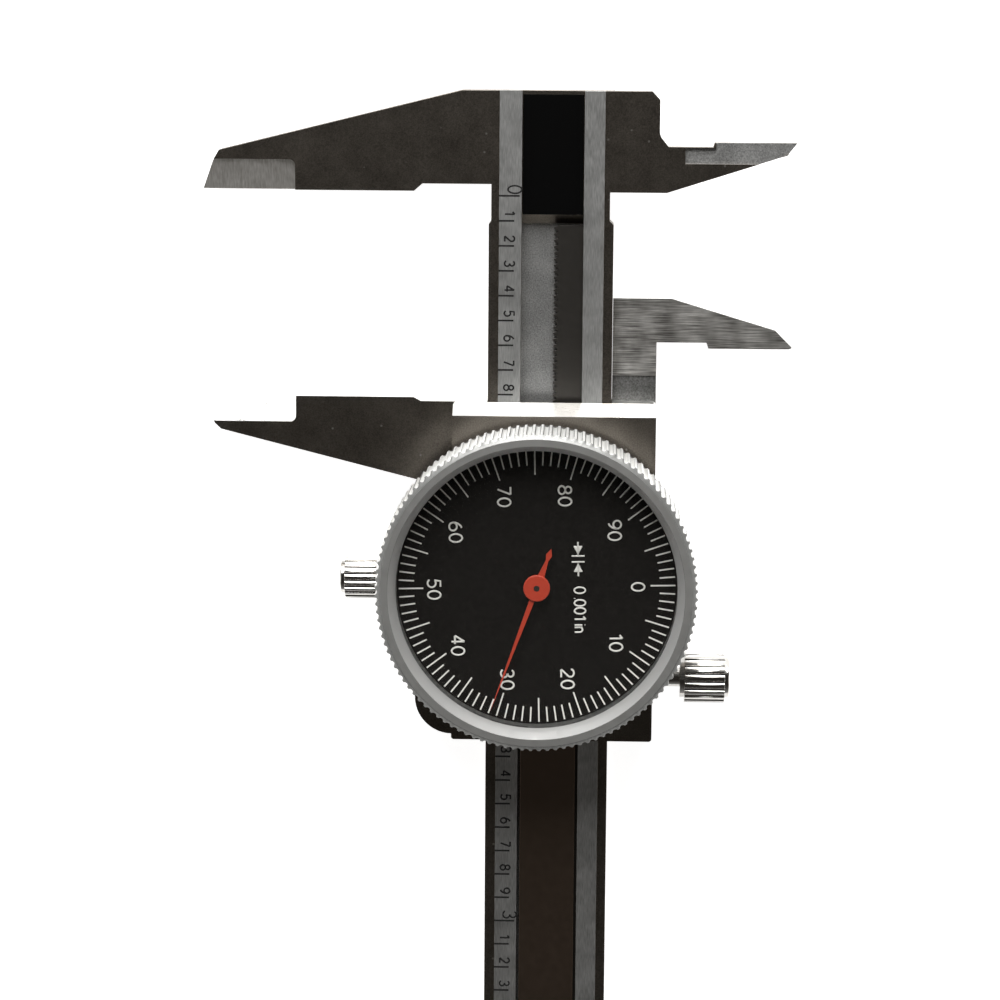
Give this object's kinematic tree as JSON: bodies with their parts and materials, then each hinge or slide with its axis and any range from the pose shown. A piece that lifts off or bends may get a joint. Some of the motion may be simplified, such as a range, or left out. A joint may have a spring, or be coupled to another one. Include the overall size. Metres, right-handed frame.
{
  "type": "dial caliper",
  "caption": "Dial caliper with outside and inside jaws, depth bar, sliding head, rack-driven pointer, turning bezel and two fluted clamp screws.",
  "frame": {"origin": "on the beam's centreline, in the plane of the fixed outside measuring face and of the head's back face", "axes": "+X is the direction in which the jaws open, +Y points to the inside jaws, +Z points out of the dial to the reader"},
  "size_m": [0.1726, 0.0603, 0.0155],
  "materials": {
    "ground_steel": "fine ground hardened stainless steel, satin",
    "dark_steel": "dull hardened steel",
    "black_enamel": "black enamel, left bare",
    "dial_black": "matt black with plain white divisions",
    "pointer_red": "orange-red lacquer",
    "crystal": "clear polished acrylic",
    "satin_chrome": "satin chrome",
    "bright_chrome": "polished chrome",
    "housing_alloy": "turned alloy",
    "gear_brass": "cut clock brass",
    "spring_brass": "drawn brass",
    "arbor_steel": "polished tool steel",
    "screw_steel": "blackened steel"
  },
  "bodies": {
    "beam_body": {"beam": "ground_steel", "nameplate_label": "black_enamel", "rack": "dark_steel", "rack_pins": "arbor_steel", "beam_end_stop": "ground_steel", "end_stop_screws": "screw_steel"},
    "slider": {"slider_frame": "ground_steel", "slider_front_plate": "ground_steel", "plate_screws": "screw_steel", "gib": "spring_brass", "gib_set_screws": "screw_steel", "depth_bar": "dark_steel", "depth_bar_screws": "screw_steel", "dial_housing": "housing_alloy", "housing_screws": "screw_steel", "bridge_pillars": "gear_brass", "movement_bridge": "gear_brass", "bridge_screws": "screw_steel", "arbor_bushes": "gear_brass", "bezel_snap_ring": "arbor_steel"},
    "rack_gear": {"rack_arbor": "arbor_steel", "main_gear": "gear_brass", "take_up_gear": "gear_brass", "take_up_spring": "arbor_steel"},
    "pointer_arbor": {"centre_arbor": "arbor_steel", "pointer": "pointer_red"},
    "bezel": {"bezel_ring": "satin_chrome", "bezel_retaining_ring": "satin_chrome", "dial_face": "dial_black", "crystal": "crystal"},
    "lock_pad": {"lock_screw_pad": "spring_brass"},
    "lock_knob": {"lock_screw": "bright_chrome"},
    "clamp_shoe": {"bezel_clamp_shoe": "spring_brass"},
    "clamp_knob": {"bezel_clamp_screw": "bright_chrome"}
  },
  "joints": [
    {"name": "slider_travel", "type": "slide", "parent": "beam_body", "child": "slider", "axis": [1, 0, 0], "range_m": [-0.02109, 0.0805]},
    {"name": "rack_gear_spin", "type": "hinge", "parent": "slider", "child": "rack_gear", "pos_m": [0.0334, -0.00116, 0.006], "axis": [0, 0, 1], "continuous": true},
    {"name": "pointer_spin", "type": "hinge", "parent": "slider", "child": "pointer_arbor", "pos_m": [0.03939, -0.001, 0.006], "axis": [0, 0, 1], "continuous": true},
    {"name": "bezel_turn", "type": "hinge", "parent": "slider", "child": "bezel", "pos_m": [0.03939, -0.001, 0.008], "axis": [0, 0, 1], "continuous": true},
    {"name": "lock_screw_travel", "type": "slide", "parent": "slider", "child": "lock_pad", "axis": [0, 1, 0], "range_m": [-0.0001, 0.0004]},
    {"name": "lock_screw_turn", "type": "hinge", "parent": "lock_pad", "child": "lock_knob", "pos_m": [0.05044, 0.0143, 0.0017], "axis": [0, 1, 0], "range_deg": [-92, 362]},
    {"name": "clamp_screw_travel", "type": "slide", "parent": "slider", "child": "clamp_shoe", "axis": [0, -1, 0], "range_m": [-0.0001, 0.0004]},
    {"name": "clamp_screw_turn", "type": "hinge", "parent": "clamp_shoe", "child": "clamp_knob", "pos_m": [0.03939, -0.018, 0.0061], "axis": [0, -1, 0], "range_deg": [-92, 362]}
  ],
  "couplings": [
    {"joint": "rack_gear_spin", "follows": "slider_travel", "rad_per_m": 618.42},
    {"joint": "pointer_spin", "follows": "slider_travel", "rad_per_m": -2473.7},
    {"joint": "lock_screw_turn", "follows": "lock_screw_travel", "rad_per_m": 15708},
    {"joint": "clamp_screw_turn", "follows": "clamp_screw_travel", "rad_per_m": 15708}
  ]
}
